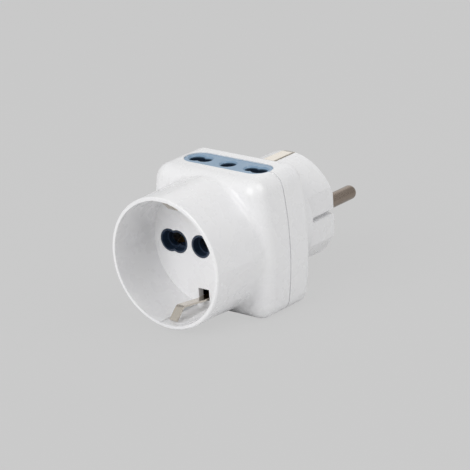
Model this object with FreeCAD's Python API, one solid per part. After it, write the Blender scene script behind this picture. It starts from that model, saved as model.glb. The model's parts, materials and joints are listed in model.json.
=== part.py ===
import FreeCAD, Part
import math
import os

os.makedirs("parts", exist_ok=True)
V = FreeCAD.Vector

# Frame: the origin is the middle of the plug's end face, where it meets a wall socket.
# The pins point along +Y, the front socket opens towards -Y, and +Z is up.

# Plug end
plug_radius = 18.3
plug_length = 22.5
plug_edge = 1.0
plug_wall = 2.0
end_wall = 2.5
pin_radius = 2.4
pin_length = 19.0
pin_pitch = 19.0
pin_tip_round = 1.8
side_flat_depth = 2.1
side_flat_length = 13.5
side_groove_depth = 2.0
side_groove_width = 1.8
side_lining = 1.2
strap_slot_length = 13.0

# Block between the two ends
side_margin = 1.6
top_margin = 1.2
side_bow = 2.5
rear_margin = 1.675
block_corner = 5.6
front_edge = 5.0
rear_edge = 1.8
wall = 2.2
parting_gap = 0.5
parting_groove = 0.35
tongue_height = 1.4
tongue_thickness = 0.9

# Front socket
recess_depth = 18.0
recess_margin = 2.7
mouth_flare = 1.2
rim_width = 1.25
rim_round = 0.35
cup_wall = 2.4
cup_base_step = 0.4
cup_root_fillet = 2.0
root_band = 1.5
floor_thickness = 2.2
floor_lead = 1.0
window_width = 4.4
window_height = 3.8
window_inset = 1.3
clip_groove_width = 7.0
clip_groove_depth = 1.1

# Contact holes: every live hole takes a small pin and a large pin side by side
small_pitch = 19.0
large_pitch = 26.0
small_hole = 2.2
large_hole = 2.6
earth_hole = 2.6
hole_chamfer = 0.5
well_radius = 3.8
well_wall = 0.6
well_depth = 2.6

# Inserts
insert_end_margin = 4.05
insert_width = 10.05
insert_sink = 0.3
insert_flange = 1.1
flange_thickness = 1.0
front_insert_plate = 2.4
front_insert_margin = 1.6
front_insert_corner = 2.0

# Sheet metal
bar_sheet = 0.8
bar_width = 5.0
bar_bend = 1.2
spring_sheet = 0.5
live_contact_margin = 1.55
earth_contact_width = 4.2
contact_length = 6.0
contact_mouth = 5.8
contact_throat = 3.8
contact_base = 5.2
contact_throat_share = 0.7
contact_base_share = 0.25
contact_bend = 0.7
mouth_gap = 0.5
clip_sheet = 0.6
clip_width = 3.0
clip_bend = 1.6
clip_tip_inset = 2.4
clip_pinch_inset = 6.2
clip_pinch = 1.3
plug_strap_width = 4.0
strap_tip_drop = 0.4
strap_tip_length = 2.6
strap_tip_inset = 0.8
strap_dip = 1.8
strap_step = 1.4
strap_base_gap = 1.5
strap_skin = 0.1
slot_end_gap = 0.4
slot_inner_reach = 2.4
strap_rise = 4.0
foot_drop = 2.5
rivet_radius = 0.9
rivet_head_radius = 1.5
rivet_head = 0.5

# Pins inside the plug, and the moulded supports
pin_boss_radius = 4.2
pin_boss_length = 9.5
pin_shank_radius = 2.9
pin_neck_radius = 2.2
pin_neck_length = 0.5
pin_seat_radius = 2.6
pin_collar_radius = 3.9
pin_collar = 1.5
pin_tail_radius = 1.5
pin_tail_rivet = 0.7
screw_side_inset = 6.2
screw_top_inset = 6.6
screw_boss_radius = 2.9
screw_radius = 1.25
screw_head_radius = 2.1
screw_head = 1.6
screw_hole_depth = 10.0
screw_end_gap = 1.0
head_recess = 2.4
head_clearance = 0.1
carrier_wall = 1.2
carrier_end_gap = 0.3
fit = 0.1
web_gap = 0.7

# Building aids: how far a cut runs past a face, how far a fused part is sunk into the next,
# and how near an edge lies to the plane it is picked by
past = 1.0
sunk = 0.5
touch = 0.01

# Sizes that follow from the contact holes outwards
small_x = small_pitch / 2
large_x = large_pitch / 2
live_x = (small_x + large_x) / 2
pin_x = pin_pitch / 2
live_contact_width = large_x - small_x + 2 * live_contact_margin
insert_length = large_pitch + 2 * insert_end_margin
recess_radius = large_x + well_radius + recess_margin
mouth_radius = recess_radius + mouth_flare
cup_rim_radius = mouth_radius + rim_width
cup_hollow_radius = recess_radius + cup_base_step
cup_base_radius = cup_hollow_radius + cup_wall
window_high = recess_radius - window_inset
window_low = window_high - window_height
half_width = cup_base_radius + side_margin
half_height = cup_base_radius + top_margin
inner_half_height = half_height - wall
bow_radius = (half_height ** 2 + side_bow ** 2) / (2 * side_bow)
bow_centre_x = half_width - bow_radius
plug_inner_radius = plug_radius - plug_wall
insert_top_z = half_height - insert_sink
insert_under_z = inner_half_height - flange_thickness
shelf_z = insert_under_z - mouth_gap - contact_length
carrier_half_height = shelf_z - bar_sheet - rivet_head - carrier_end_gap
joint_x = (pin_x + live_x) / 2
screw_x = half_width - screw_side_inset
screw_z = half_height - screw_top_inset
strap_top_z = plug_radius - strap_skin
flat_x = plug_radius - side_flat_depth
groove_x = flat_x - side_groove_depth

# Planes that follow from the plug's end to the socket's rim
collar_y = -end_wall - pin_boss_length
tail_y = collar_y - pin_collar
strap_out_y = -strap_slot_length
block_rear_y = -plug_length
hollow_rear_y = block_rear_y - wall
strap_base_y = block_rear_y + strap_base_gap
strap_back_y = strap_base_y + bar_sheet / 2
strap_front_y = strap_base_y - bar_sheet / 2
parting_y = hollow_rear_y - rear_margin - insert_flange - insert_width / 2
web_back_y = parting_y - contact_mouth / 2 - web_gap
web_front_y = web_back_y - bar_sheet
foot_back_y = web_back_y + bar_sheet
insert_back_y = web_front_y - clip_sheet - contact_length - mouth_gap
floor_back_y = insert_back_y - front_insert_plate
floor_y = floor_back_y - floor_thickness
rim_y = floor_y - recess_depth
block_front_y = floor_back_y + floor_lead
hollow_front_y = block_front_y + wall


def box(x0, x1, y0, y1, z0, z1):
    return Part.makeBox(x1 - x0, y1 - y0, z1 - z0, V(x0, y0, z0))


def rod(radius, y0, y1, x=0.0, z=0.0):
    """A round bar along Y."""
    return Part.makeCylinder(radius, y1 - y0, V(x, y0, z), V(0, 1, 0))


def post(radius, z0, z1, x=0.0, y=0.0):
    """A round bar along Z."""
    return Part.makeCylinder(radius, z1 - z0, V(x, y, z0), V(0, 0, 1))


def fuse(shapes):
    whole = shapes[0].multiFuse(shapes[1:])
    return whole.removeSplitter()


def turned(profile):
    """A solid turned about the Y axis from (radius, y) points."""
    points = [V(radius, y, 0) for radius, y in profile]
    face = Part.Face(Part.makePolygon(points + points[:1]))
    return face.revolve(V(0, 0, 0), V(0, 1, 0), 360)


def side_x(z, inset):
    """Half the block's width at a height, on a face drawn in from the outside."""
    return bow_centre_x + math.sqrt((bow_radius - inset) ** 2 - z ** 2)


def outline(inset, y):
    """The block's outline across Y, drawn in by an inset: bowed sides, flat top and bottom, round corners."""
    half_x = half_width - inset
    half_z = half_height - inset
    corner = block_corner - inset
    reach = bow_radius - block_corner
    corner_z = half_height - block_corner
    corner_x = bow_centre_x + math.sqrt(reach ** 2 - corner_z ** 2)
    lean = math.asin(corner_z / reach)
    half_way = (lean + math.pi / 2) / 2
    end = (corner_x + corner * math.cos(lean), corner_z + corner * math.sin(lean))
    middle = (corner_x + corner * math.cos(half_way), corner_z + corner * math.sin(half_way))
    edges = []
    for turn in (1, -1):
        def place(x, z):
            return V(turn * x, y, turn * z)
        edges.append(Part.Arc(place(end[0], -end[1]), place(half_x, 0), place(*end)).toShape())
        edges.append(Part.Arc(place(*end), place(*middle), place(corner_x, half_z)).toShape())
        edges.append(Part.LineSegment(place(corner_x, half_z), place(-corner_x, half_z)).toShape())
        edges.append(Part.Arc(place(-corner_x, half_z), place(-middle[0], middle[1]),
                              place(-end[0], end[1])).toShape())
    return Part.Face(Part.Wire(edges))


def block(inset, open_y, end_y, edge_round):
    """The block between two planes, drawn in by an inset; its edges are also rounded at one end."""
    solid = outline(inset, open_y).extrude(V(0, end_y - open_y, 0))
    end = [e for e in solid.Edges
           if max(abs(e.BoundBox.YMin - end_y), abs(e.BoundBox.YMax - end_y)) < touch]
    return solid.makeFillet(edge_round, end)


def stadium(length, width, z0, z1):
    """An upright plate with round ends, on the outlet line."""
    reach = (length - width) / 2
    middle = box(-reach, reach, parting_y - width / 2, parting_y + width / 2, z0, z1)
    ends = [post(width / 2, z0, z1, side * reach, parting_y) for side in (-1, 1)]
    return fuse([middle] + ends)


def side_points(points, bend, offset):
    """Points of one side of a bent strip: lines with an arc at each bend."""
    chain = []
    for index, (u, v) in enumerate(points):
        before = points[index - 1] if index else None
        after = points[index + 1] if index + 1 < len(points) else None
        if before is None or after is None:
            a, b = ((u, v), after) if before is None else (before, (u, v))
            length = math.dist(a, b)
            normal = (-(b[1] - a[1]) / length, (b[0] - a[0]) / length)
            chain.append([(u + normal[0] * offset, v + normal[1] * offset)])
            continue
        d0 = ((u - before[0]) / math.dist(before, (u, v)), (v - before[1]) / math.dist(before, (u, v)))
        d1 = ((after[0] - u) / math.dist(after, (u, v)), (after[1] - v) / math.dist(after, (u, v)))
        turn = math.atan2(d0[0] * d1[1] - d0[1] * d1[0], d0[0] * d1[0] + d0[1] * d1[1])
        side = math.copysign(1, turn)
        cut = bend * math.tan(abs(turn) / 2)
        start = (u - d0[0] * cut, v - d0[1] * cut)
        finish = (u + d1[0] * cut, v + d1[1] * cut)
        centre = (start[0] - d0[1] * bend * side, start[1] + d0[0] * bend * side)
        reach = math.dist(centre, (u, v))
        radius = bend - side * offset
        middle = (centre[0] + (u - centre[0]) / reach * radius, centre[1] + (v - centre[1]) / reach * radius)
        chain.append([(start[0] - d0[1] * offset, start[1] + d0[0] * offset), middle,
                      (finish[0] - d1[1] * offset, finish[1] + d1[0] * offset)])
    return chain


def bent_strip(points, sheet, bend, x0, x1):
    """A bent sheet-metal strip: its middle line is given as (y, z) points, its width along X."""
    edges = []
    for offset, backwards in ((sheet / 2, False), (-sheet / 2, True)):
        chain = side_points(points, bend, offset)
        if backwards:
            chain = [list(reversed(stop)) for stop in reversed(chain)]
        place = [[V(x0, y, z) for y, z in stop] for stop in chain]
        for index, stop in enumerate(place):
            if len(stop) == 3:
                edges.append(Part.Arc(stop[0], stop[1], stop[2]).toShape())
            if index + 1 < len(place):
                edges.append(Part.LineSegment(stop[-1], place[index + 1][0]).toShape())
        last = place[-1][-1]
        ends = side_points(points, bend, -offset)
        closing = ends[0][0] if backwards else ends[-1][0]
        edges.append(Part.LineSegment(last, V(x0, closing[0], closing[1])).toShape())
    face = Part.Face(Part.Wire(edges))
    return face.extrude(V(x1 - x0, 0, 0))


def live_holes(side, small, large, y0, y1):
    """The figure-eight hole of one live contact, along Y."""
    return [rod(small, y0, y1, side * small_x), rod(large, y0, y1, side * large_x)]


def screw_places():
    """The four corners of the block, as (x, z)."""
    return [(side * screw_x, end * screw_z) for side in (-1, 1) for end in (-1, 1)]


def on_both_sides(shape):
    """A shape on the +X side and its mirror on the other."""
    return [shape, shape.mirror(V(0, 0, 0), V(1, 0, 0))]


def socket_cup():
    """The block's front half with the round cup, which flows into it with a concave fillet."""
    outside = block(0, parting_y, block_front_y, front_edge)
    inside_y = block_front_y + front_edge
    cup = turned([(0, rim_y), (cup_rim_radius - rim_round, rim_y), (cup_rim_radius, rim_y + rim_round),
                  (cup_base_radius, block_front_y), (cup_base_radius, inside_y), (0, inside_y)])
    solid = fuse([outside, cup])
    root = [e for e in solid.Edges if e.BoundBox.YMin > block_front_y - touch and e.BoundBox.YMax < inside_y
            and abs(math.hypot(e.CenterOfMass.x, e.CenterOfMass.z) - cup_base_radius) < root_band]
    return solid.makeFillet(cup_root_fillet, root)


def front_shell():
    shell = socket_cup()
    recess = turned([(0, rim_y - past), (mouth_radius, rim_y - past), (mouth_radius, rim_y),
                     (recess_radius, floor_y), (0, floor_y)])
    hollow = block(wall, parting_y + past, hollow_front_y, front_edge - wall)
    cup_hollow = rod(cup_hollow_radius, floor_back_y, hollow_front_y + past)
    shell = shell.cut(recess).cut(fuse([hollow, cup_hollow]))
    posts = [rod(screw_boss_radius, hollow_front_y - sunk, parting_y, x, z) for x, z in screw_places()]
    shell = fuse([shell] + posts)
    cuts = []
    for side in (-1, 1):
        cuts += live_holes(side, well_radius + fit, well_radius + fit, floor_y - past, floor_back_y + past)
        low, high = sorted((side * window_low, side * window_high))
        cuts.append(box(-window_width / 2, window_width / 2, floor_y - past, floor_back_y + past, low, high))
        low, high = sorted((side * window_low, side * (recess_radius + clip_groove_depth)))
        cuts.append(box(-clip_groove_width / 2, clip_groove_width / 2, rim_y - past, floor_y, low, high))
        cuts.append(outlet_seat(side))
    cuts.append(rod(well_radius + fit, floor_y - past, floor_back_y + past))
    cuts.append(tongue(fit))
    cuts.append(parting_line())
    for x, z in screw_places():
        cuts.append(rod(screw_radius, parting_y - screw_hole_depth, parting_y + past, x, z))
    return shell.cut(Part.makeCompound(cuts))


def parting_line():
    """The shallow groove round the block where the two shells meet."""
    ring = outline(-past, parting_y - parting_gap).cut(outline(parting_groove, parting_y - parting_gap))
    return ring.extrude(V(0, parting_gap, 0))


def tongue(clearance):
    """The lip of the rear shell that enters the front shell."""
    front = parting_y - tongue_height - clearance
    ring = outline(wall - tongue_thickness - clearance, front).cut(outline(wall, front))
    return ring.extrude(V(0, tongue_height + clearance, 0))


def outlet_seat(side):
    """The opening in the top or bottom wall that holds an outlet insert."""
    seat = stadium(insert_length + 2 * fit, insert_width + 2 * fit, insert_under_z, half_height + past)
    return seat if side > 0 else seat.mirror(V(0, 0, 0), V(0, 0, 1))


def rear_shell():
    outside = block(0, parting_y, block_rear_y, rear_edge)
    plug = turned([(0, block_rear_y - past), (plug_radius, block_rear_y - past), (plug_radius, -plug_edge),
                   (plug_radius - plug_edge, 0), (0, 0)])
    shell = fuse([outside, plug, tongue(0)])
    front = parting_y - 2 * tongue_height
    hollow = outline(wall, front).extrude(V(0, hollow_rear_y - front, 0))
    shell = shell.cut(hollow).cut(rod(plug_inner_radius, hollow_rear_y - past, -end_wall))
    posts = [rod(screw_boss_radius, parting_y, block_rear_y - sunk, x, z) for x, z in screw_places()]
    bosses = [rod(pin_boss_radius, collar_y, -end_wall + sunk, side * pin_x) for side in (-1, 1)]
    back_y = -side_flat_length - side_lining
    front_y = -end_wall + sunk
    half_groove = side_groove_width / 2
    inside = rod(plug_radius - sunk, block_rear_y, 0)
    lining = [box(flat_x - side_lining, plug_radius, back_y, front_y, -plug_radius / 2, plug_radius / 2),
              box(groove_x - side_lining, plug_radius, back_y, front_y,
                  -half_groove - side_lining, half_groove + side_lining)]
    shell = fuse([shell] + posts + bosses + on_both_sides(fuse(lining).common(inside)))
    outer_z = plug_radius + past
    cuts = on_both_sides(box(flat_x, outer_z, -side_flat_length, past, -plug_radius, plug_radius))
    cuts += on_both_sides(box(groove_x, outer_z, -side_flat_length, past, -half_groove, half_groove))
    half = plug_strap_width / 2 + 2 * fit
    slot_z = strap_top_z - bar_sheet / 2 - strap_tip_drop
    for side in (-1, 1):
        cuts.append(rod(pin_seat_radius, -end_wall - past, past, side * pin_x))
        cuts.append(rod(pin_shank_radius, collar_y - past, -end_wall, side * pin_x))
        cuts.append(rod(pin_collar_radius + fit, back_y, collar_y, side * pin_x))
        cuts.append(outlet_seat(side))
        low, high = sorted((side * slot_z, side * outer_z))
        cuts.append(box(-half, half, strap_out_y - slot_end_gap, past, low, high))
        low, high = sorted((side * (plug_inner_radius - past), side * outer_z))
        cuts.append(box(-half, half, strap_out_y - slot_inner_reach, strap_out_y + past, low, high))
    for x, z in screw_places():
        cuts.append(rod(screw_radius, parting_y - past, block_rear_y + past, x, z))
        cuts.append(rod(screw_head_radius + head_clearance, block_rear_y - head_recess,
                        block_rear_y + past, x, z))
    return shell.cut(Part.makeCompound(cuts))


def front_insert():
    half_x = large_x + well_radius + front_insert_margin
    half_z = well_radius + front_insert_margin
    plate = box(-half_x, half_x, floor_back_y, insert_back_y, -half_z, half_z)
    corners = [e for e in plate.Edges if e.BoundBox.YLength > front_insert_plate / 2]
    plate = plate.makeFillet(front_insert_corner, corners)
    inside = well_radius - well_wall
    well_floor_y = floor_y + well_depth
    collars = [rod(well_radius, floor_y, floor_back_y + sunk)]
    wells = [rod(inside, floor_y - past, well_floor_y)]
    holes = [rod(earth_hole, floor_y, insert_back_y + past)]
    for side in (-1, 1):
        collars += live_holes(side, well_radius, well_radius, floor_y, floor_back_y + sunk)
        wells += live_holes(side, inside, inside, floor_y - past, well_floor_y)
        holes += live_holes(side, small_hole, large_hole, floor_y, insert_back_y + past)
    body = fuse([plate] + collars)
    return body.cut(Part.makeCompound(wells)).cut(Part.makeCompound(holes))


def lead_in(radius, x):
    """A hole down through an outlet insert, with a chamfered mouth."""
    hole = post(radius, insert_under_z - past, insert_top_z + past, x, parting_y)
    mouth = Part.makeCone(radius, radius + 2 * hole_chamfer, 2 * hole_chamfer,
                          V(x, parting_y, insert_top_z - hole_chamfer), V(0, 0, 1))
    return [hole, mouth]


def outlet_insert(side):
    body = stadium(insert_length, insert_width, insert_under_z, insert_top_z)
    lip = stadium(insert_length, insert_width + 2 * insert_flange, insert_under_z, inner_half_height)
    clear = insert_length / 2 - insert_width / 2
    lip = lip.common(box(-clear, clear, parting_y - insert_width, parting_y + insert_width,
                         insert_under_z - past, half_height))
    body = fuse([body, lip])
    cuts = lead_in(earth_hole, 0)
    for end in (-1, 1):
        cuts += lead_in(small_hole, end * small_x)
        cuts += lead_in(large_hole, end * large_x)
    for cut in cuts:
        body = body.cut(cut)
    return body if side > 0 else body.mirror(V(0, 0, 0), V(0, 0, 1))


def contact_points():
    """Half of a spring contact as (across, along) points from its lip to its base."""
    sheet = spring_sheet / 2
    base = contact_base / 2 - sheet
    return [(contact_mouth / 2 - sheet, contact_length),
            (contact_throat / 2 - sheet, contact_length * contact_throat_share),
            (base, contact_length * contact_base_share), (base, sheet)]


def contact_path():
    half = contact_points()
    return half + [(-across, along) for across, along in reversed(half)]


def front_contact(x, width, base_y):
    path = [(base_y - along, across) for across, along in contact_path()]
    return bent_strip(path, spring_sheet, contact_bend, x - width / 2, x + width / 2)


def side_contact(x, width, side):
    """A spring contact that opens to the top outlet (side 1) or the bottom one (side -1)."""
    path = [(parting_y + across, side * (shelf_z + along)) for across, along in contact_path()]
    return bent_strip(path, spring_sheet, contact_bend, x - width / 2, x + width / 2)


def bus_bar(x):
    """A bar with a shelf at each end, which carries the contacts of all three outlets."""
    middle_y = web_front_y + bar_sheet / 2
    shelf = shelf_z - bar_sheet / 2
    reach = parting_y + contact_mouth / 2
    path = [(reach, -shelf), (middle_y, -shelf), (middle_y, shelf), (reach, shelf)]
    return bent_strip(path, bar_sheet, bar_bend, x - bar_width / 2, x + bar_width / 2)


def hat_strap(x, width, rear_y):
    """A strap with a foot at each end, from the back of a bus bar to a face further back."""
    front = web_back_y + bar_sheet / 2
    path = [(front, -foot_drop), (front, strap_rise), (rear_y, strap_rise), (rear_y, -foot_drop)]
    return bent_strip(path, bar_sheet, bar_bend, x - width / 2, x + width / 2)


def earth_clip_half():
    """The upper arm of the socket's earth bracket, from its tip back to its base."""
    arm_z = window_high - clip_sheet
    base_y = web_front_y - clip_sheet / 2
    tip_z = recess_radius + clip_groove_depth - clip_sheet
    return [(rim_y + clip_tip_inset, tip_z), (rim_y + clip_pinch_inset, arm_z - clip_pinch),
            (floor_y - clip_bend, arm_z), (base_y, arm_z)]


def socket_earth_bracket():
    half = earth_clip_half()
    path = half + [(y, -z) for y, z in reversed(half)]
    return bent_strip(path, clip_sheet, clip_bend, -clip_width / 2, clip_width / 2)


def plug_earth_strap():
    in_z = plug_inner_radius - strap_dip
    half = [(-strap_tip_inset, strap_top_z - strap_tip_drop), (-strap_tip_length, strap_top_z),
            (strap_out_y, strap_top_z), (strap_out_y - strap_step, in_z), (strap_base_y, in_z)]
    path = half + [(y, -z) for y, z in reversed(half)]
    return bent_strip(path, bar_sheet, bar_bend, -plug_strap_width / 2, plug_strap_width / 2)


def pin(side):
    neck_y = -pin_neck_length
    strap_y = tail_y - bar_sheet
    profile = [(0, pin_length), (pin_radius, pin_length), (pin_radius, 0), (pin_neck_radius, 0),
               (pin_neck_radius, neck_y), (pin_seat_radius, neck_y), (pin_seat_radius, -end_wall),
               (pin_shank_radius, -end_wall), (pin_shank_radius, collar_y), (pin_collar_radius, collar_y),
               (pin_collar_radius, tail_y), (pin_tail_radius, tail_y), (pin_tail_radius, strap_y),
               (pin_tail_radius + pin_tail_rivet, strap_y), (pin_tail_radius, strap_y - pin_tail_rivet),
               (0, strap_y - pin_tail_rivet)]
    solid = turned(profile)
    tip = [e for e in solid.Edges if e.BoundBox.YMin > pin_length - touch]
    solid = solid.makeFillet(pin_tip_round, tip)
    solid.translate(V(side * pin_x, 0, 0))
    return solid


def rivet_y(x, y0, y1):
    heads = [rod(rivet_head_radius, y0 - rivet_head, y0, x), rod(rivet_head_radius, y1, y1 + rivet_head, x)]
    return fuse([rod(rivet_radius, y0, y1, x)] + heads)


def rivet_z(x, side):
    low = shelf_z - bar_sheet
    high = shelf_z + spring_sheet
    heads = [post(rivet_head_radius, low - rivet_head, low, x, parting_y),
             post(rivet_head_radius, high, high + rivet_head, x, parting_y)]
    solid = fuse([post(rivet_radius, low, high, x, parting_y)] + heads)
    return solid if side > 0 else solid.mirror(V(0, 0, 0), V(0, 0, 1))


def rivets():
    solids = []
    for side in (-1, 1):
        solids.append(rivet_y(side * joint_x, web_front_y - spring_sheet, foot_back_y))
        for x in (-live_x, 0, live_x):
            solids.append(rivet_z(x, side))
    solids.append(rivet_y(0, web_front_y - clip_sheet - spring_sheet, foot_back_y))
    solids.append(rivet_y(0, strap_front_y - bar_sheet, strap_back_y))
    return solids


def drilled(solid):
    """A metal piece with its rivet holes."""
    holes = []
    joint_front_y = web_front_y - clip_sheet - spring_sheet - past
    for place in (-joint_x, 0, joint_x):
        holes.append(rod(rivet_radius, joint_front_y, foot_back_y + past, place))
    holes.append(rod(rivet_radius, strap_front_y - bar_sheet - past, strap_back_y + past))
    for place in (-live_x, 0, live_x):
        holes.append(post(rivet_radius, -shelf_z - past, shelf_z + past, place, parting_y))
    return solid.cut(Part.makeCompound(holes))


def contact_carrier():
    front = foot_back_y + rivet_head + fit
    half_x = side_x(carrier_half_height, wall) - 2 * fit
    wall_plate = box(-half_x, half_x, front, front + carrier_wall, -carrier_half_height, carrier_half_height)
    gap_x = (live_x - live_contact_width / 2 + earth_contact_width / 2) / 2
    fins = []
    for side in (-1, 1):
        middle = side * gap_x
        fins.append(box(middle - carrier_wall / 2, middle + carrier_wall / 2, insert_back_y + fit,
                        hollow_rear_y, -carrier_half_height, carrier_half_height))
    body = fuse([wall_plate] + fins)
    for x, width in ((-pin_x, bar_width), (0, plug_strap_width), (pin_x, bar_width)):
        half = width / 2 + 2 * fit
        body = body.cut(box(x - half, x + half, front - past, front + carrier_wall + past,
                            strap_rise - bar_sheet, strap_rise + bar_sheet))
    return body


def screws():
    solids = []
    seat_y = block_rear_y - head_recess
    end_y = parting_y - screw_hole_depth + screw_end_gap
    for x, z in screw_places():
        head = rod(screw_head_radius, seat_y, seat_y + screw_head, x, z)
        solids.append(fuse([head, rod(screw_radius, end_y, seat_y, x, z)]))
    return solids


nodes = {
    "front_shell": front_shell(),
    "rear_shell": rear_shell(),
    "front_outlet_insert": front_insert(),
    "top_outlet_insert": outlet_insert(1),
    "bottom_outlet_insert": outlet_insert(-1),
    "line_pin": pin(1),
    "neutral_pin": pin(-1),
    "plug_earth_strap": drilled(plug_earth_strap()),
    "socket_earth_bracket": drilled(socket_earth_bracket()),
    "contact_carrier": contact_carrier(),
    "contact_rivets": Part.makeCompound(rivets()),
    "housing_screws": Part.makeCompound(screws()),
    "earth_bus_bar": drilled(bus_bar(0)),
    "earth_link": drilled(hat_strap(0, plug_strap_width, strap_front_y - bar_sheet / 2)),
    "front_earth_contact": drilled(front_contact(0, earth_contact_width, web_front_y - clip_sheet)),
}
for side, name in ((1, "line"), (-1, "neutral")):
    x = side * live_x
    pin_strap = hat_strap(side * pin_x, bar_width, tail_y - bar_sheet / 2)
    tail_hole = rod(pin_tail_radius, tail_y - bar_sheet - past, tail_y + past, side * pin_x)
    nodes[name + "_bus_bar"] = drilled(bus_bar(x))
    nodes[name + "_pin_strap"] = drilled(pin_strap).cut(tail_hole)
    nodes["front_" + name + "_contact"] = drilled(front_contact(x, live_contact_width, web_front_y))
for side, place in ((1, "top"), (-1, "bottom")):
    nodes[place + "_line_contact"] = drilled(side_contact(live_x, live_contact_width, side))
    nodes[place + "_neutral_contact"] = drilled(side_contact(-live_x, live_contact_width, side))
    nodes[place + "_earth_contact"] = drilled(side_contact(0, earth_contact_width, side))

for name, shape in nodes.items():
    print(name, len(shape.Solids), shape.isValid(), round(shape.Volume, 1))
    shape.exportStep("parts/" + name + ".step")
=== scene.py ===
import json
import math

import bpy
from mathutils import Matrix, Vector


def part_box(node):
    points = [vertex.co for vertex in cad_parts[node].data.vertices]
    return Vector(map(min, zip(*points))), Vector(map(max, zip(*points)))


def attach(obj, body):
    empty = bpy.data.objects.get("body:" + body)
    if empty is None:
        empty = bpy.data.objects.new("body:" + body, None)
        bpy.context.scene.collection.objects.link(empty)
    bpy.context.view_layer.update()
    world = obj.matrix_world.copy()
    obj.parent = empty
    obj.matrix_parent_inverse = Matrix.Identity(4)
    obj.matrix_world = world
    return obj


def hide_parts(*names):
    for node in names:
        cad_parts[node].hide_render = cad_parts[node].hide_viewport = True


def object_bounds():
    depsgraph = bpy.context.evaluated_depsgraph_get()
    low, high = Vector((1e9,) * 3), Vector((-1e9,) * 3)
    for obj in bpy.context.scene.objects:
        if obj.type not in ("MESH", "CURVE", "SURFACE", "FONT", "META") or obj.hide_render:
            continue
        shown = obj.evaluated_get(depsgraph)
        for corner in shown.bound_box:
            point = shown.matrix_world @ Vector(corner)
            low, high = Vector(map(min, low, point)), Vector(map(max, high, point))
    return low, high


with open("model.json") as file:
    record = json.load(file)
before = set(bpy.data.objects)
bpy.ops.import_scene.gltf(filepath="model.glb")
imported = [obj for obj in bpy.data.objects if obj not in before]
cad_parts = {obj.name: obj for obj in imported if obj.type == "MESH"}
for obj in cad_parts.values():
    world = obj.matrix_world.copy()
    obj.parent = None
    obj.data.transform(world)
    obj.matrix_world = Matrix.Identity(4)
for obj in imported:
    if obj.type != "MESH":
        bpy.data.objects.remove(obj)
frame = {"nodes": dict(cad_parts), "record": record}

MM = 0.001
nodes = frame["nodes"]
cad_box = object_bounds()

# The photograph's view of the adapter
PICTURE = 470
VIEW_AZIMUTH = 40.79
VIEW_ELEVATION = 19.65
VIEW_ROLL = -3.82
VIEW_DISTANCE = 937.8 * MM
VIEW_FOCAL_PIXELS = 2912.2
VIEW_OFFSET = (-10.55, 0.70)
VIEW_TARGET = Vector((0, -36.7, 0)) * MM
SENSOR_WIDTH = 36

CLIP_START = 0.05
CLIP_END = 20

# Studio: each lamp has a name, a direction from the adapter, a distance, a size and a power
LAMPS = [
    ("front_box", (-0.1, -0.9, 0.6), 1.6, 1.2, 13.2),
    ("right_box", (0.65, 0.15, 0.95), 1.0, 0.7, 3.2),
    ("rear_top_box", (-0.45, 1.0, 0.55), 1.0, 0.6, 0.6),
]
ROOM_LIGHT = 0.395
PAPER_SIZE = 6.0
FLOOR_GAP = 0.05 * MM
PAPER_EVENNESS = 0.9
BACKGROUND_GREY = "#CBCBCB"
PAPER_WHITE = "#EDEDED"

# Surface patterns
DRIFT_SIZE = 9 * MM
COOLING_SIZE = 5 * MM
PEEL_SIZE = 1.6 * MM
LINE_SIZE = 0.5 * MM
CLOUD_SIZE = 0.8 * MM
STAIN_SIZE = 3 * MM
NOISE_LOW = 0.3
NOISE_HIGH = 0.7

# Outlet inserts: the height below which painted shade starts to darken their holes, and the height where it
# is full navy
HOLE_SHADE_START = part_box("top_outlet_insert")[1].z - 0.4 * MM
HOLE_SHADE_FULL = HOLE_SHADE_START - 0.6 * MM

# Housing screws
HEAD_RADIUS = 2.1 * MM
HEAD_HEIGHT = 1.6 * MM
HEAD_ROUND = 0.45 * MM
CROSS_REACH = 1.3 * MM
CROSS_WIDTH = 0.6 * MM
CROSS_DEPTH = 1.0 * MM
CROSS_TAPER = 0.45
THREAD_CORE = 0.95 * MM
THREAD_CREST = 1.25 * MM
THREAD_PITCH = 1.1 * MM
THREAD_STEPS = 20
PLAIN_SHANK = 3.0 * MM
ROUND_SIDES = 40
FACING = 0.9
SMOOTH_ANGLE = math.radians(35)


def colour(hex_code):
    """The linear colour of an sRGB hex code."""
    values = [int(hex_code[i:i + 2], 16) / 255 for i in (1, 3, 5)]
    return tuple(v / 12.92 if v <= 0.04045 else ((v + 0.055) / 1.055) ** 2.4 for v in values) + (1.0,)


def blank(name):
    """A material with an empty node tree."""
    material = bpy.data.materials.new(name)
    material.use_nodes = True
    material.node_tree.nodes.clear()
    return material


def add(material, kind, settings, inputs):
    """Adds a node with its settings, and gives each input its value or its link."""
    node = material.node_tree.nodes.new(kind)
    for name, value in settings.items():
        setattr(node, name, value)
    for key, value in inputs.items():
        if isinstance(value, bpy.types.NodeSocket):
            material.node_tree.links.new(value, node.inputs[key])
        else:
            node.inputs[key].default_value = value
    return node


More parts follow.
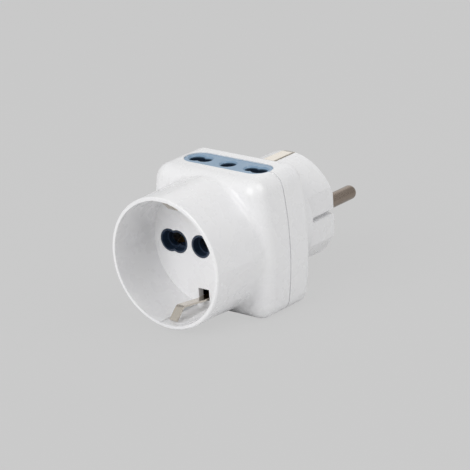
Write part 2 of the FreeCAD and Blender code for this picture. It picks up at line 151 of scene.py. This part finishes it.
def moulded(name, tone, shade, roughness, ior, peel_depth, core=None):
    """Injection-moulded plastic: one even colour that drifts a little over centimetres, a faint orange peel
    1.6 mm across that softens its reflections, and gloss that is a touch uneven where the melt cooled.
    A core colour of painted shade takes over below the outlet faces and darkens their holes as shade would.
    The peel's depth is in millimetres."""
    material = blank(name)
    place = add(material, "ShaderNodeTexCoord", {}, {}).outputs["Object"]
    drift = add(material, "ShaderNodeTexNoise", {}, {"Vector": place, "Scale": 1 / DRIFT_SIZE})
    tint = add(material, "ShaderNodeMix", {"data_type": "RGBA"},
               {0: drift.outputs["Fac"], 6: colour(tone), 7: colour(shade)})
    if core:
        # Painted shade: below the outlet faces the colour turns to the navy core colour, which darkens the
        # holes as shade would
        apart = add(material, "ShaderNodeSeparateXYZ", {}, {"Vector": place})
        height = add(material, "ShaderNodeMath", {"operation": "ABSOLUTE"}, {0: apart.outputs["Z"]})
        painted_hole_shade = add(material, "ShaderNodeMapRange", {},
                   {"Value": height.outputs["Value"], "From Min": HOLE_SHADE_FULL, "From Max": HOLE_SHADE_START})
        tint = add(material, "ShaderNodeMix", {"data_type": "RGBA"},
                   {0: painted_hole_shade.outputs["Result"], 6: colour(core), 7: tint.outputs[2]})
    cooling = add(material, "ShaderNodeTexNoise", {},
                  {"Vector": place, "Scale": 1 / COOLING_SIZE, "Detail": 3.0})
    gloss = add(material, "ShaderNodeMapRange", {},
                {"Value": cooling.outputs["Fac"], "From Min": NOISE_LOW, "From Max": NOISE_HIGH,
                 "To Min": roughness * 0.85, "To Max": roughness * 1.15})
    peel = add(material, "ShaderNodeTexNoise", {}, {"Vector": place, "Scale": 1 / PEEL_SIZE})
    relief = add(material, "ShaderNodeBump", {},
                 {"Height": peel.outputs["Fac"], "Strength": 1.0, "Distance": peel_depth * MM})
    shader = add(material, "ShaderNodeBsdfPrincipled", {},
                 {"Base Color": tint.outputs[2], "Roughness": gloss.outputs["Result"], "IOR": ior,
                  "Normal": relief.outputs["Normal"]})
    add(material, "ShaderNodeOutputMaterial", {}, {"Surface": shader.outputs["BSDF"]})
    return material


def plated(name, tone, shade, roughness, grain, line_size, line_depth):
    """Metal with the fine lines of its making along the grain: turning rings, or the rolling lines of a
    strip. The lines are drawn coarser than real ones, so that they show, and they spread its highlights.
    Their depth is in millimetres."""
    material = blank(name)
    place = add(material, "ShaderNodeTexCoord", {}, {}).outputs["Object"]
    stretched = add(material, "ShaderNodeMapping", {}, {"Vector": place, "Scale": grain})
    lines = add(material, "ShaderNodeTexNoise", {},
                {"Vector": stretched.outputs["Vector"], "Scale": 1 / line_size, "Detail": 3.0,
                 "Roughness": 0.6})
    stain = add(material, "ShaderNodeTexNoise", {}, {"Vector": place, "Scale": 1 / STAIN_SIZE, "Detail": 3.0})
    tint = add(material, "ShaderNodeMix", {"data_type": "RGBA"},
               {0: stain.outputs["Fac"], 6: colour(tone), 7: colour(shade)})
    gloss = add(material, "ShaderNodeMapRange", {},
                {"Value": lines.outputs["Fac"], "From Min": NOISE_LOW, "From Max": NOISE_HIGH,
                 "To Min": roughness * 0.75, "To Max": roughness * 1.3})
    relief = add(material, "ShaderNodeBump", {},
                 {"Height": lines.outputs["Fac"], "Strength": 1.0, "Distance": line_depth * MM})
    shader = add(material, "ShaderNodeBsdfPrincipled", {},
                 {"Base Color": tint.outputs[2], "Metallic": 1.0, "Roughness": gloss.outputs["Result"],
                  "Normal": relief.outputs["Normal"]})
    add(material, "ShaderNodeOutputMaterial", {}, {"Surface": shader.outputs["BSDF"]})
    return material


# Glossy white ABS shells, as from a polished mould: nearly white, with soft clear reflections
white_abs = moulded("white_moulded_abs_gloss", "#F0F0F0", "#ECECEE", 0.28, 1.54, 0.003)
# Dark slate ABS of the front insert: a satin mould face, so its wells stay dark
slate_abs = moulded("slate_blue_moulded_abs", "#22344A", "#1C2C40", 0.38, 1.54, 0.004)
# Pale blue ABS of the outlet inserts: satin, a little chalky, with painted navy shade below the face that
# makes the holes dark
pale_blue_abs = moulded("pale_blue_moulded_abs", "#84A1BB", "#7D9AB4", 0.34, 1.54, 0.004, "#1B2A3C")
# Undyed nylon of the inner wall: creamy and dull
natural_nylon = moulded("natural_moulded_nylon", "#D5D3CB", "#CCCAC1", 0.50, 1.53, 0.004)
# Turned brass pins with nickel plating: warm grey, with fine rings across their length
turned_nickel = plated("turned_nickel_plated_brass", "#968A80", "#83776C", 0.28, (1, 6, 1), LINE_SIZE, 0.004)
# Nickel-plated spring strip: brighter, with rolling lines along the strip
nickel_strip = plated("nickel_plated_spring_strip", "#E0DAD0", "#D2CABD", 0.18, (8, 1, 1), LINE_SIZE, 0.0015)
# Rolled brass sheet of bars and contacts: yellow dulled to brown by handling, with rolling lines
rolled_brass = plated("rolled_brass_sheet", "#A88C58", "#937745", 0.40, (8, 1, 1), LINE_SIZE, 0.002)
# Zinc-plated steel screws: cool grey and slightly cloudy
zinc_steel = plated("zinc_plated_steel", "#B9BBBE", "#A5A8AC", 0.36, (1, 1, 1), CLOUD_SIZE, 0.003)

FINISHES = {
    "white_shell": white_abs,
    "dark_blue_insert": slate_abs,
    "pale_blue_insert": pale_blue_abs,
    "plated_pin": turned_nickel,
    "plated_spring": nickel_strip,
    "contact_brass": rolled_brass,
    "grey_carrier": natural_nylon,
    "screw_steel": zinc_steel,
}


def finish_nodes():
    """Gives every node of the frame the material of its slot."""
    for part in frame["record"]["subparts"]:
        node = nodes[part["node"]]
        node.data.materials.clear()
        node.data.materials.append(FINISHES[part["material_slot"]])


def deselect():
    """Leaves nothing selected, so that the next operator acts on new work only."""
    bpy.ops.object.select_all(action="DESELECT")


def settle(name):
    """The new piece, with its place taken into its mesh."""
    piece = bpy.context.active_object
    piece.name = name
    bpy.ops.object.transform_apply(location=True, rotation=True, scale=True)
    return piece


def pick_faces(piece, wanted):
    """Goes into edit mode with the faces selected whose centre and normal are wanted."""
    bpy.ops.object.mode_set(mode="EDIT")
    bpy.ops.mesh.select_mode(type="FACE")
    bpy.ops.mesh.select_all(action="DESELECT")
    bpy.ops.object.mode_set(mode="OBJECT")
    for face in piece.data.polygons:
        face.select = wanted(face.center, face.normal)
    bpy.ops.object.mode_set(mode="EDIT")


def along_y(radius, start, end, x, z):
    """A round bar along Y, which is then the only object selected."""
    deselect()
    bpy.ops.mesh.primitive_cylinder_add(vertices=ROUND_SIDES, radius=radius, depth=end - start,
                                        location=(x, (start + end) / 2, z), rotation=(-math.pi / 2, 0, 0))


def screw_head(x, z, top):
    """A pan head with a rounded rim and a tapered cross in it."""
    along_y(HEAD_RADIUS, top - HEAD_HEIGHT, top, x, z)
    head = settle("screw_head")
    pick_faces(head, lambda centre, normal: normal.y > FACING)
    bpy.ops.mesh.bevel(offset=HEAD_ROUND, segments=4, affect="EDGES")
    bpy.ops.object.mode_set(mode="OBJECT")
    length = 2 * CROSS_REACH
    height = 2 * CROSS_DEPTH
    for size in ((length, height, CROSS_WIDTH), (CROSS_WIDTH, height, length)):
        deselect()
        bpy.ops.mesh.primitive_cube_add(size=1, location=(x, top, z), scale=size)
        arm = settle("cross_arm")
        pick_faces(arm, lambda centre, normal: normal.y < -FACING)
        bpy.ops.transform.resize(value=(CROSS_TAPER, 1, CROSS_TAPER), center_override=(x, top, z))
        bpy.ops.object.mode_set(mode="OBJECT")
        deselect()
        head.select_set(True)
        bpy.context.view_layer.objects.active = head
        cut = head.modifiers.new("cross", "BOOLEAN")
        cut.operation = "DIFFERENCE"
        cut.object = arm
        bpy.ops.object.modifier_apply(modifier=cut.name)
        bpy.data.objects.remove(arm)
    return head


def screw_thread(x, z, start, end):
    """A pointed ridge wound round the core, closed at both ends."""
    ridge = (THREAD_CREST - THREAD_CORE) / 1.5
    deselect()
    bpy.ops.mesh.primitive_circle_add(vertices=3, radius=ridge, fill_type="NOTHING",
                                      rotation=(0, 0, -math.pi / 2))
    thread = settle("screw_thread")
    bpy.ops.object.mode_set(mode="EDIT")
    bpy.ops.mesh.select_all(action="SELECT")
    bpy.ops.transform.translate(value=(THREAD_CREST - ridge, 0, 0))
    bpy.ops.object.mode_set(mode="OBJECT")
    thread.location = (x, start, z)
    turn = thread.modifiers.new("winding", "SCREW")
    turn.axis = "Y"
    turn.screw_offset = THREAD_PITCH
    turn.iterations = int((end - start) / THREAD_PITCH)
    turn.steps = THREAD_STEPS
    turn.render_steps = THREAD_STEPS
    bpy.ops.object.modifier_apply(modifier=turn.name)
    bpy.ops.object.transform_apply(location=True, rotation=True, scale=True)
    bpy.ops.object.mode_set(mode="EDIT")
    bpy.ops.mesh.select_mode(type="EDGE")
    bpy.ops.mesh.select_all(action="DESELECT")
    bpy.ops.mesh.select_non_manifold()
    bpy.ops.mesh.fill()
    bpy.ops.mesh.select_all(action="SELECT")
    bpy.ops.mesh.normals_make_consistent(inside=False)
    bpy.ops.object.mode_set(mode="OBJECT")
    return thread


def housing_screws():
    """One screw is modelled at its first corner, then copied to the other three."""
    low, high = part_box("housing_screws")
    x = low.x + HEAD_RADIUS
    z = low.z + HEAD_RADIUS
    head = screw_head(x, z, high.y)
    along_y(THREAD_CORE, low.y, high.y - HEAD_HEIGHT + HEAD_ROUND, x, z)
    core = settle("screw_core")
    thread = screw_thread(x, z, low.y + THREAD_PITCH / 2, high.y - HEAD_HEIGHT - PLAIN_SHANK)
    deselect()
    for part in (core, thread, head):
        part.select_set(True)
    bpy.context.view_layer.objects.active = head
    bpy.ops.object.join()
    bpy.ops.object.shade_smooth_by_angle(angle=SMOOTH_ANGLE)
    head.name = "housing_screw_1"
    head.data.materials.append(zinc_steel)
    across = high.x - low.x - 2 * HEAD_RADIUS
    upward = high.z - low.z - 2 * HEAD_RADIUS
    places = [(0, 0), (across, 0), (0, upward), (across, upward)]
    for index, (dx, dz) in enumerate(places):
        deselect()
        screw = head
        if index:
            head.select_set(True)
            bpy.context.view_layer.objects.active = head
            bpy.ops.object.duplicate(linked=False)
            screw = bpy.context.active_object
            screw.location = (dx, 0, dz)
            bpy.ops.object.transform_apply(location=True, rotation=True, scale=True)
            screw.name = "housing_screw_" + str(index + 1)
        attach(screw, "root")
        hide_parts("housing_screws")


def soft_box(name, direction, distance, size, power):
    """A square soft light that faces the adapter."""
    data = bpy.data.lights.new(name, "AREA")
    data.shape = "SQUARE"
    data.size = size
    data.energy = power
    lamp = bpy.data.objects.new(name, data)
    place = Vector(direction).normalized() * distance
    lamp.location = VIEW_TARGET + place
    lamp.rotation_euler = (-place).to_track_quat("-Z", "Y").to_euler()
    bpy.context.scene.collection.objects.link(lamp)


def paper():
    """Matt studio paper: it throws white light back at the adapter, and looks pale grey with a soft shadow,
    because to the camera most of its grey is its own."""
    material = blank("matt_studio_paper")
    rays = add(material, "ShaderNodeLightPath", {}, {})
    grey = add(material, "ShaderNodeMix", {"data_type": "RGBA"},
               {0: rays.outputs["Is Camera Ray"], 6: colour(PAPER_WHITE), 7: colour(BACKGROUND_GREY)})
    own = add(material, "ShaderNodeMath", {"operation": "MULTIPLY"},
              {0: rays.outputs["Is Camera Ray"], 1: PAPER_EVENNESS})
    matt = add(material, "ShaderNodeBsdfDiffuse", {}, {"Color": grey.outputs[2]})
    glow = add(material, "ShaderNodeEmission", {}, {"Color": colour(BACKGROUND_GREY), "Strength": 1.0})
    both = add(material, "ShaderNodeMixShader", {},
               {0: own.outputs["Value"], 1: matt.outputs["BSDF"], 2: glow.outputs["Emission"]})
    add(material, "ShaderNodeOutputMaterial", {}, {"Surface": both.outputs["Shader"]})
    return material


def floor():
    """The sheet of paper under the adapter, a hair below it, so that the two faces don't flicker."""
    deselect()
    bpy.ops.mesh.primitive_plane_add(size=PAPER_SIZE, location=(0, 0, cad_box[0].z - FLOOR_GAP))
    sheet = settle("floor")
    sheet.data.materials.append(paper())


def studio():
    """An even surround: soft white light, with the grey of the picture behind and in the reflections."""
    world = bpy.data.worlds.new("studio")
    bpy.context.scene.world = world
    world.use_nodes = True
    world.node_tree.nodes.clear()
    rays = add(world, "ShaderNodeLightPath", {}, {})
    mirrored = add(world, "ShaderNodeMath", {"operation": "ADD"},
                   {0: rays.outputs["Is Camera Ray"], 1: rays.outputs["Is Glossy Ray"]})
    shown = add(world, "ShaderNodeMath", {"operation": "ADD", "use_clamp": True},
                {0: mirrored.outputs["Value"], 1: rays.outputs["Is Transmission Ray"]})
    light = add(world, "ShaderNodeBackground", {}, {"Color": colour("#FFFFFF"), "Strength": ROOM_LIGHT})
    seen = add(world, "ShaderNodeBackground", {}, {"Color": colour(BACKGROUND_GREY), "Strength": 1.0})
    both = add(world, "ShaderNodeMixShader", {},
               {0: shown.outputs["Value"], 1: light.outputs["Background"], 2: seen.outputs["Background"]})
    add(world, "ShaderNodeOutputWorld", {}, {"Surface": both.outputs["Shader"]})


def photograph_camera():
    """The camera, placed and turned as the photograph was taken."""
    azimuth, elevation, roll = (math.radians(v) for v in (VIEW_AZIMUTH, VIEW_ELEVATION, VIEW_ROLL))
    back = Vector((math.sin(azimuth) * math.cos(elevation), -math.cos(azimuth) * math.cos(elevation),
                   math.sin(elevation)))
    level = (-back).cross(Vector((0, 0, 1))).normalized()
    above = level.cross(-back)
    right = math.cos(roll) * level + math.sin(roll) * above
    up = -math.sin(roll) * level + math.cos(roll) * above
    data = bpy.data.cameras.new("camera")
    data.sensor_width = SENSOR_WIDTH
    data.lens = VIEW_FOCAL_PIXELS / PICTURE * SENSOR_WIDTH
    data.shift_x = -VIEW_OFFSET[0] / PICTURE
    data.shift_y = VIEW_OFFSET[1] / PICTURE
    data.clip_start = CLIP_START
    data.clip_end = CLIP_END
    camera = bpy.data.objects.new("camera", data)
    turn = Matrix((right, up, back)).transposed().to_4x4()
    camera.matrix_world = Matrix.Translation(VIEW_TARGET + back * VIEW_DISTANCE) @ turn
    bpy.context.scene.collection.objects.link(camera)
    bpy.context.scene.camera = camera


finish_nodes()
housing_screws()
floor()
studio()
photograph_camera()
for lamp in LAMPS:
    soft_box(*lamp)
bpy.context.scene.view_settings.view_transform = "Standard"
